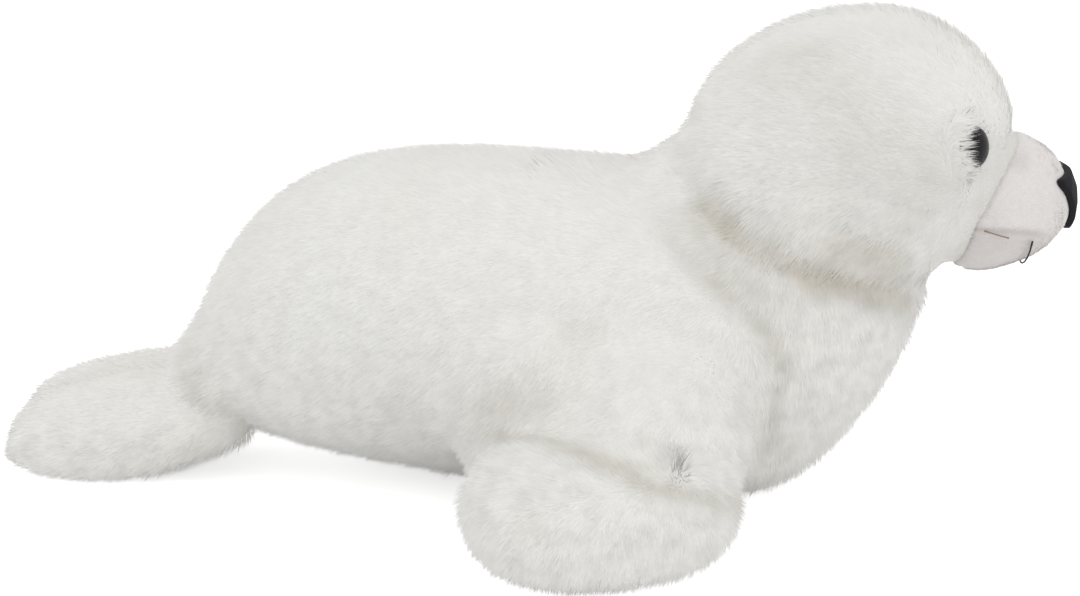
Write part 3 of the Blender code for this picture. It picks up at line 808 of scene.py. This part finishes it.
def drooped_jowls(mesh, head):
    """Lets the head's lower edge hang over the neck, further at the back than at the throat."""
    places = points_of(mesh)
    along = places[:, 0] - RUMP_X
    jowl = (
        head * ramp(seam_height(along) - places[:, 2], -0.036, -0.004)
        * ramp(np.abs(places[:, 1]), 0.006, 0.026)
        * ramp(distances("muzzle_cover", places), 0.006, 0.016)
    )
    droop = 0.0125 * fall(along, 0.225, 0.285)
    shift = normals_of(mesh) * 0.0025 - np.array((0.0, 0.0, 1.0)) * droop[:, None]
    shift[:, 1] += np.sign(places[:, 1]) * 0.40 * droop
    place(mesh, places + shift * jowl[:, None])
    relaxed(mesh, 2, 0.5 * jowl)
    return jowl


def short_front(places):
    """Where the face's pile is short: ahead of its rear edge and below the brow."""
    eye = eye_axis("right")[0]
    ahead = places[:, 0] - eye[0]
    drop = eye[2] - places[:, 2]
    edge = np.interp(drop, *zip(*FACE_EDGE))
    brow = np.interp(np.abs(places[:, 1]), (0.0, abs(eye[1])), BROW_DROP)
    return ramp(ahead - edge, -0.001, 0.003) * ramp(drop - brow, -0.002, 0.002)


def seen_shade(places):
    """How shaded a place is by the folds drawn in the photograph's view, alike on both sides."""
    turn, rise = SEEN_ANGLES
    along = places[:, 0] - RUMP_X - SEEN_FROM
    aside = np.abs(places[:, 1])
    across = math.cos(turn) * along - math.sin(turn) * aside
    away = math.sin(turn) * along + math.cos(turn) * aside
    up = math.cos(rise) * places[:, 2] - math.sin(rise) * away
    pixels = (SEEN_MIDDLE[0] + across / SEEN_SCALE, SEEN_MIDDLE[1] - up / SEEN_SCALE)
    depth = np.zeros(len(places))
    for line, reach, amount in SHADES.values():
        gone = fold_distance(*pixels, line) / reach
        depth = np.maximum(depth, amount * np.exp(-gone * gone))
    return depth * ramp(aside, 0.008, 0.030)


def seam_height(along):
    """How high the neck seam lies, by the distance from the rump."""
    return NECK_SEAM[1] + (NECK_SEAM[0] - along) * NECK_SEAM[2]


# The pieces

def eye_shape(side):
    """The eye's washer centre and axis, and its radius, back and top along that axis."""
    disc = points_of(node_mesh(f"eye_washer_{side}"))
    centre = disc.mean(0)
    axis = np.linalg.svd(disc - centre)[2][2]
    shape = points_of(node_mesh(f"eye_{side}")) - centre
    if axis[0] < 0:
        axis = -axis
    heights = shape @ axis
    radii = np.linalg.norm(shape - np.outer(heights, axis), axis=1)
    radius = radii.max()
    return centre, axis, radius, heights[radii > radius * 0.98].min(), heights.max()


def eye_axis(side):
    """The middle of the eye where it stands in the pile, and its outward axis."""
    centre, axis, _, back, _ = eye_shape(side)
    return centre + axis * back, axis


def eye_gaps(places):
    """For each eye: each place's offset and distance from its middle, and its outward axis."""
    for side in SIDES:
        middle, axis = eye_axis(side)
        gap = places - middle
        yield gap, np.linalg.norm(gap, axis=1), axis


def body_comb(places, along, chest):
    """The lay of the body's pile: back and down, and down the chest."""
    flank = ramp(np.abs(places[:, 1]), 0.060, 0.085)
    comb = np.empty_like(places)
    comb[:, 0] = -0.9 + 0.5 * flank + 0.9 * chest
    comb[:, 1] = -0.30 * np.sign(places[:, 1]) * flank
    comb[:, 2] = -0.55 - 0.4 * flank - 0.5 * chest
    return comb + noise_field(places, 0.035, 3) * 0.35


def head_comb(places, cheek):
    """The lay of the head's pile: away from the nose, down the cheeks, and over the eyes' rear."""
    low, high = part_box("nose")
    comb = places - np.array((high.x, 0.0, (low.z + high.z) / 2))
    comb /= np.linalg.norm(comb, axis=1, keepdims=True)
    comb[:, 2] -= 0.9 * cheek
    comb += noise_field(places, 0.03, 9) * (0.2 + 0.5 * cheek[:, None])
    for gap, reach, _ in eye_gaps(places):
        behind = fall(gap[:, 0], -0.003, 0.001) * fall(reach, 0.012, 0.016)
        comb += behind[:, None] * np.array((3.2, 0.0, 0.0))
    return comb


def corner_weight(places):
    """Where the skin is rounded off: the shoulders, the armpits, the nape and the tail's root."""
    along = places[:, 0] - RUMP_X
    aside = np.abs(places[:, 1])
    up = places[:, 2]
    shoulder = band(aside, 0.040, 0.052, 0.090, 0.110) * band(up, 0.036, 0.056, 0.110, 0.125)
    shoulder *= fall(along, 0.205, 0.222)
    armpit = band(aside, 0.040, 0.055, 0.085, 0.105) * ramp(up, 0.020, 0.034)
    armpit *= band(along, 0.085, 0.105, 0.140, 0.160)
    corners = np.maximum(shoulder, armpit)
    for centre, half_sizes in WADS[:2]:
        spot = np.array(centre) + np.array((RUMP_X - 0.003, 0, half_sizes[2] * 0.6))
        gap = (places - spot) / np.array((1.0, half_sizes[1] / half_sizes[0], 1.0))
        corners = np.maximum(corners, fall(np.linalg.norm(gap, axis=1), 0.016, 0.032))
    return corners


def swollen_head(mesh):
    """Rounds the head away from the snout, and raises a ring of pile behind each eye."""
    places = points_of(mesh)
    fuller = ramp(places[:, 2] - seam_height(places[:, 0] - RUMP_X), 0.004, 0.012)
    fuller *= HEAD_FULLNESS * ramp(distances("muzzle_cover", places), 0.003, 0.010)
    places += normals_of(mesh) * fuller[:, None]
    places[:, 2] = np.maximum(places[:, 2], CLOTH_FLOOR)
    for gap, reach, axis in eye_gaps(places):
        ring = band(reach, 0.0065, 0.0095, 0.012, 0.022) * fall(gap[:, 0], -0.004, 0.001)
        places += np.outer(0.0042 * ring, axis)
    place(mesh, places)


class SEAL_OT_body(bpy.types.Operator):
    """Build the body, the head and the front flippers"""

    bl_idname = "seal.body"
    bl_label = "Body, Head and Front Flippers"

    def execute(self, context):
        nodes = ["body_stuffing", "head_stuffing"]
        nodes += [f"front_flipper_stuffing_{side}" for side in SIDES]
        mesh = melted([grown(node) for node in nodes] + [wad(*sizes) for sizes in WADS])
        relaxed(mesh, 45, 0.04 + 0.96 * corner_weight(points_of(mesh)))
        shaped_shoulder(mesh)
        places = points_of(mesh)
        head = ramp(places[:, 2] - seam_height(places[:, 0] - RUMP_X), -0.001, 0.003)
        jowl = drooped_jowls(mesh, head)
        places = points_of(mesh)
        snout = distances("muzzle_cover", places)
        on_floor = fall(places[:, 2], 0.003, 0.005)
        by_snout = fall(snout, 0.002, 0.006)
        in_folds = ramp(concavity(mesh), 0.4, 0.9)
        mesh = filled(mesh, np.maximum.reduce((in_folds, on_floor, by_snout)), 0.003)
        relaxed(mesh, 1)
        swollen_head(mesh)

        places = points_of(mesh)
        along = places[:, 0] - RUMP_X
        chest = ramp(along, 0.20, 0.25) * (1 - head)
        low = fall(places[:, 2], 0.035, 0.085)
        hidden = fall(places[:, 2], 0.003, 0.006)
        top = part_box("head_cover")[1].z
        cheek = head * fall(places[:, 2], top - 0.085, top - 0.040)
        comb = body_comb(places, along, chest) * (1 - head[:, None])
        comb += head_comb(places, cheek) * head[:, None]
        mess = 0.35 + 0.65 * np.clip(low * 0.8 + chest + cheek, 0, 1)
        long = 1 - 0.35 * hidden + 0.15 * chest + 0.25 * jowl
        long *= 0.45 + 0.55 * ramp(snout, 0.001, 0.016)
        cover = (1 - 0.75 * hidden) * ramp(snout, 0.0005, 0.0018)
        lift = np.ones(len(places))
        for gap, reach, _ in eye_gaps(places):
            cover *= ramp(reach, 0.0066, 0.0078)
            rim = fall(reach, 0.010, 0.015) * ramp(np.abs(gap[:, 0]), 0.001, 0.004)
            long = np.maximum(long, 0.85 * rim)
            lift += rim
        short = head * short_front(places)
        long += (0.27 - long) * short
        mess *= 1 - 0.6 * short
        lift *= 1 - 0.5 * np.maximum(short, head * ramp(along, 0.285, 0.315))
        # Painted shade along the drawn lines, and a darker tone on the face's short pile, both go
        # into the fold tint
        shaded = np.maximum(seen_shade(places), 0.28 * short)
        skin_fields(mesh, comb, mess, long, cover, lift, shaded)
        covers = ["body_cover", "head_cover"] + [f"front_flipper_{side}" for side in SIDES]
        padded_skin("plush_skin", mesh, long_pile(), nodes + covers)

        kept = np.empty(len(places), dtype=np.float32)
        mesh.attributes["cover"].data.foreach_get("value", kept)
        front = along > BODY_MIDDLE
        right = places[:, 1] < 0
        on_head = head > 0.5
        areas = (
            ("rear_right", ~front & right), ("rear_left", ~front & ~right),
            ("front_right", front & right & ~on_head), ("front_left", front & ~right & ~on_head),
            ("head_right", on_head & right), ("head_left", on_head & ~right),
        )
        for seed, (name, area) in enumerate(areas, 1):
            part = mesh.copy()
            part.attributes["cover"].data.foreach_set("value", (kept * area).astype(np.float32))
            long_planted(f"pile_{name}", part, seed)
        return {"FINISHED"}


class SEAL_OT_lobes(bpy.types.Operator):
    """Build the two tail lobes"""

    bl_idname = "seal.lobes"
    bl_label = "Tail Lobes"

    def execute(self, context):
        for number, side in enumerate(SIDES):
            node = f"hind_flipper_stuffing_{side}"
            mesh = grown(node)
            relaxed(mesh, 2)
            places = points_of(mesh)
            by_rump = ramp(places[:, 0] - RUMP_X, 0.005, 0.015)
            mesh = filled(mesh, np.maximum(by_rump, fall(places[:, 2], 0.003, 0.005)), 0.002)
            relaxed(mesh, 1)
            places = points_of(mesh)
            places[:, 2] = np.maximum(places[:, 2], CLOTH_FLOOR)
            place(mesh, places)
            comb = (-0.8, 0.0, -0.35) + noise_field(places, 0.03, 5 + number) * 0.35
            low = fall(places[:, 2], 0.012, 0.030)
            hidden = fall(places[:, 2], 0.003, 0.006)
            skin_fields(
                mesh, comb, 0.35 + 0.6 * low, 0.85 - 0.3 * hidden, 1 - 0.7 * hidden,
                shaded=seen_shade(places),
            )
            nodes = (node, f"hind_flipper_{side}")
            padded_skin(f"lobe_skin_{side}", mesh, long_pile(), nodes)
            long_planted(f"pile_lobe_{side}", mesh, 11 + number)
        return {"FINISHED"}


def snout_form():
    """The snout's even skin: closed at its rear, brought out to the nose and over the face."""
    bm = bmesh.new()
    bm.from_mesh(NODES["muzzle_cover"].data)
    bmesh.ops.remove_doubles(bm, verts=bm.verts, dist=1e-5)
    hull = bmesh.ops.convex_hull(bm, input=bm.verts)
    spare = [item for item in hull["geom_interior"] + hull["geom_unused"]
             if isinstance(item, bmesh.types.BMVert) and item.is_valid]
    bmesh.ops.delete(bm, geom=spare, context="VERTS")
    mesh = remeshed(mesh_from(bm, "snout"), SNOUT_SIZE)
    relaxed(mesh, 6)
    places = points_of(mesh)
    for gap, reach, _ in eye_gaps(places):
        ahead = ramp(gap[:, 0], 0.0035, 0.0075) * fall(reach, 0.009, 0.018)
        places[:, 1] += np.sign(places[:, 1]) * 0.0030 * ahead
    near = fall(distances("nose", places), 0.0010, 0.0026)
    normals = normals_of(mesh)
    reach = 0.0012 * ramp(normals[:, 2], 0.2, 0.8) * (1 - near) + 0.0010 * near - 0.0008
    reach += SNOUT_LAP * fall(places[:, 0] - eye_axis("right")[0][0], 0.006, 0.022)
    place(mesh, places + normals * reach[:, None])
    return mesh


class SEAL_OT_snout(bpy.types.Operator):
    """Build the short-pile snout"""

    bl_idname = "seal.snout"
    bl_label = "Snout"

    def execute(self, context):
        face = context.scene.seal_face
        mesh = snout_form()
        colour = tuple(face.snout_colour)
        patch = tuple(c * f for c, f in zip(colour, (0.96, 0.95, 0.94)))
        # The fold shade colour is painted shade, for the jaw, the lip groove and the shade lines
        colours = {"Pile": colour, "Patch": patch, "Fold shade": (0.50, 0.455, 0.44)}
        amounts = {
            "Patch scale": 30.0, "Patch amount": 0.5, "Fold shade amount": 0.8, "Tuft scale": 400.0,
            "Tuft shade amount": 0.08, "Root shade amount": 0.16, "Strand amount": 0.08,
        }
        pile = pile_material("short_pile_fur", colours, amounts)
        places = points_of(mesh)
        low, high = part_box("muzzle_cover")
        comb = places - np.array((high.x + 0.01, 0.0, (low.z + high.z) / 2))
        comb += noise_field(places, 0.012, 13) * 0.02
        comb /= np.linalg.norm(comb, axis=1, keepdims=True)
        ones = np.ones(len(places))
        cover = ramp(places[:, 0], low.x + 0.004, low.x + 0.008)
        cover *= ramp(distances("nose", places), 0.0014, 0.0024)
        # Painted shade: darker on the jaw below the lip line, and darker still in a groove along
        # that line
        above_lip = places[:, 2] - (0.101 + 0.36 * np.abs(places[:, 1]))
        jaw_shade = 0.5 * fall(above_lip, -0.003, 0.001)
        lip_groove_shade = 0.9 * np.exp(-(above_lip / 0.0014) ** 2)
        lip_groove_shade *= fall(places[:, 0] - RUMP_X, 0.330, 0.340)
        shaded = np.maximum.reduce((jaw_shade, lip_groove_shade, seen_shade(places)))
        skin_fields(mesh, comb, 0.4 * ones, ones, cover, shaded=shaded)
        padded_skin("snout_skin", mesh, pile, ["muzzle_cover"])
        settings = {"Length": face.snout_pile, **SHORT_PILE}
        planted("pile_snout", mesh, pile, "short_pile", 31, settings)
        return {"FINISHED"}


class SEAL_OT_nose(bpy.types.Operator):
    """Build the matte nose"""

    bl_idname = "seal.nose"
    bl_label = "Nose"

    def execute(self, context):
        face = context.scene.seal_face
        mesh = remeshed(node_mesh("nose"), NOSE_SIZE)
        relaxed(mesh, 4)
        finish = grained_material("nose_matte", tuple(face.nose_colour), 0.7, 0.25, 1800.0, 0.12)
        piece = finished("nose_piece", mesh, finish)
        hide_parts("nose")
        return {"FINISHED"}


class SEAL_OT_eyes(bpy.types.Operator):
    """Build the polished eyes"""

    bl_idname = "seal.eyes"
    bl_label = "Eyes"

    def execute(self, context):
        colour = tuple(context.scene.seal_face.eye_colour)
        finish = grained_material("eye_gloss", colour, 0.08, 0.0, 300.0, 0.2)
        rim, bevel, steps = 0.0014, 0.0004, 12
        for side in SIDES:
            centre, axis, radius, back, top = eye_shape(side)
            profile = [(0.0, back), (radius * 0.96, back), (radius, back + bevel)]
            for step in range(steps + 1):
                angle = math.pi / 2 * step / steps
                height = back + rim + (top - back - rim) * math.sin(angle)
                profile.append((radius * math.cos(angle), height))
            mesh = turned_form(f"eye_{side}", profile, centre, axis)
            piece = finished(f"eye_piece_{side}", mesh, finish)
            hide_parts(f"eye_{side}")
        return {"FINISHED"}


class SEAL_OT_fixings(bpy.types.Operator):
    """Finish the threads and the hidden washers"""

    bl_idname = "seal.fixings"
    bl_label = "Threads and Washers"

    def execute(self, context):
        threads = (
            ("mouth_thread", "thread_dark", (0.020, 0.018, 0.018), 0.00035),
            ("cheek_stitch_left", "thread_brown", (0.22, 0.16, 0.13), 0.00042),
            ("cheek_stitch_right", "thread_brown", (0.22, 0.16, 0.13), 0.00042),
        )
        for node, name, colour, thinning in threads:
            finish = bpy.data.materials.get(name)
            if finish is None:
                finish = grained_material(name, colour, 0.85, 0.6, 2500.0)
            mesh = node_mesh(node)
            places = points_of(mesh) - normals_of(mesh) * thinning
            if node.startswith("cheek"):
                places[:, 1] += np.sign(places[:, 1]) * SNOUT_LAP
            place(mesh, places)
            mesh.shade_smooth()
            piece = finished(f"{node}_strand", mesh, finish)
            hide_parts(node)
        plastic = grained_material("washer_moulded", (0.45, 0.45, 0.43), 0.4, 0.1, 900.0)
        for name in ("eye_washer_left", "eye_washer_right", "nose_washer"):
            NODES[name].data.materials.clear()
            NODES[name].data.materials.append(plastic)
        return {"FINISHED"}


def seen_strength(tree, falling, seen):
    """A strength for the light that falls on the seal, and another for what the camera sees."""
    path = tree.nodes.new("ShaderNodeLightPath")
    values = {"Value": path.outputs["Is Camera Ray"], 3: falling, 4: seen}
    return new_node(tree, "ShaderNodeMapRange", values).outputs["Result"]


class SEAL_OT_stage(bpy.types.Operator):
    """Set up the floor, the lights and the camera"""

    bl_idname = "seal.stage"
    bl_label = "Stage"

    def execute(self, context):
        settings = context.scene.seal_stage
        scene = context.scene
        scene.view_settings.view_transform = "Standard"
        mesh = bpy.data.meshes.new("floor")
        reach = 6.0
        mesh.from_pydata(
            [(-reach, -reach, 0), (reach, -reach, 0), (reach, reach, 0), (-reach, reach, 0)],
            [], [(0, 1, 2, 3)],
        )
        finish, tree, shader = plain_material("floor_paper", 0.9)
        shader.inputs["Base Color"].default_value = (*settings.floor_colour, 1)
        shader.inputs["Specular IOR Level"].default_value = 0.0
        shader.inputs["Emission Color"].default_value = (1, 1, 1, 1)
        tree.links.new(seen_strength(tree, 0.0, 0.58), shader.inputs["Emission Strength"])
        floor = bpy.data.objects.new("floor", mesh)
        scene.collection.objects.link(floor)
        mesh.materials.append(finish)

        world = bpy.data.worlds.new("studio")
        world.use_nodes = True
        tree = world.node_tree
        backing = tree.nodes["Background"]
        backing.inputs["Color"].default_value = (1, 1, 1, 1)
        tree.links.new(seen_strength(tree, 0.86, 1.0), backing.inputs["Strength"])
        scene.world = world

        lamps = (
            ("key_lamp", (-0.2, -0.3, 1.7), 1.4, 6.5),
            ("front_lamp", (1.1, -0.7, 0.25), 1.0, 2.2),
            ("side_lamp", (-0.5, -1.2, 0.10), 1.0, 1.2),
        )
        for name, spot, size, power in lamps:
            data = bpy.data.lights.new(name, "AREA")
            data.shape = "DISK"
            data.size = size
            data.energy = power
            lamp = bpy.data.objects.new(name, data)
            lamp.location = spot
            aim = Vector((0.0, 0.0, 0.08)) - Vector(spot)
            lamp.rotation_euler = aim.to_track_quat("-Z", "Y").to_euler()
            scene.collection.objects.link(lamp)

        azimuth, elevation = SEEN_ANGLES
        width, height = SEEN_SIZE
        seen = Vector((RUMP_X + SEEN_FROM, 0, 0))
        back = Vector((
            math.sin(azimuth) * math.cos(elevation), -math.cos(azimuth) * math.cos(elevation),
            math.sin(elevation),
        ))
        data = bpy.data.cameras.new("camera")
        data.sensor_width = 36.0
        data.lens = data.sensor_width * settings.camera_distance / (SEEN_SCALE * width)
        data.shift_x = (width / 2 - SEEN_MIDDLE[0]) / width
        data.shift_y = (SEEN_MIDDLE[1] - height / 2) / width
        camera = bpy.data.objects.new("camera", data)
        camera.location = seen + back * settings.camera_distance
        camera.rotation_euler = (-back).to_track_quat("-Z", "Y").to_euler()
        scene.collection.objects.link(camera)
        scene.camera = camera
        return {"FINISHED"}


class SEAL_PT_panel(bpy.types.Panel):
    """Lists the seal's settings and its parts"""

    bl_idname = "SEAL_PT_panel"
    bl_label = "Plush Seal"
    bl_space_type = "VIEW_3D"
    bl_region_type = "UI"
    bl_category = "Plush Seal"

    def draw(self, context):
        for group in (context.scene.seal_pile, context.scene.seal_face, context.scene.seal_stage):
            box = self.layout.box()
            for name in group.__annotations__:
                box.prop(group, name)
        for operator in OPERATORS:
            self.layout.operator(operator.bl_idname)


GROUPS = (SealPileSettings, SealFaceSettings, SealStageSettings)
OPERATORS = (
    SEAL_OT_stage, SEAL_OT_body, SEAL_OT_lobes, SEAL_OT_snout, SEAL_OT_nose, SEAL_OT_eyes,
    SEAL_OT_fixings,
)


def register():
    for kind in (*GROUPS, *OPERATORS, SEAL_PT_panel):
        bpy.utils.register_class(kind)
    bpy.types.Scene.seal_pile = bpy.props.PointerProperty(type=SealPileSettings)
    bpy.types.Scene.seal_face = bpy.props.PointerProperty(type=SealFaceSettings)
    bpy.types.Scene.seal_stage = bpy.props.PointerProperty(type=SealStageSettings)


def unregister():
    for name in ("seal_pile", "seal_face", "seal_stage"):
        delattr(bpy.types.Scene, name)
    for kind in reversed((*GROUPS, *OPERATORS, SEAL_PT_panel)):
        bpy.utils.unregister_class(kind)


def main():
    register()
    bpy.ops.seal.stage()
    bpy.ops.seal.body()
    bpy.ops.seal.lobes()
    bpy.ops.seal.snout()
    bpy.ops.seal.nose()
    bpy.ops.seal.eyes()
    bpy.ops.seal.fixings()
    bpy.data.objects.remove(bpy.data.objects["strand"])


if __name__ == "__main__":
    main()
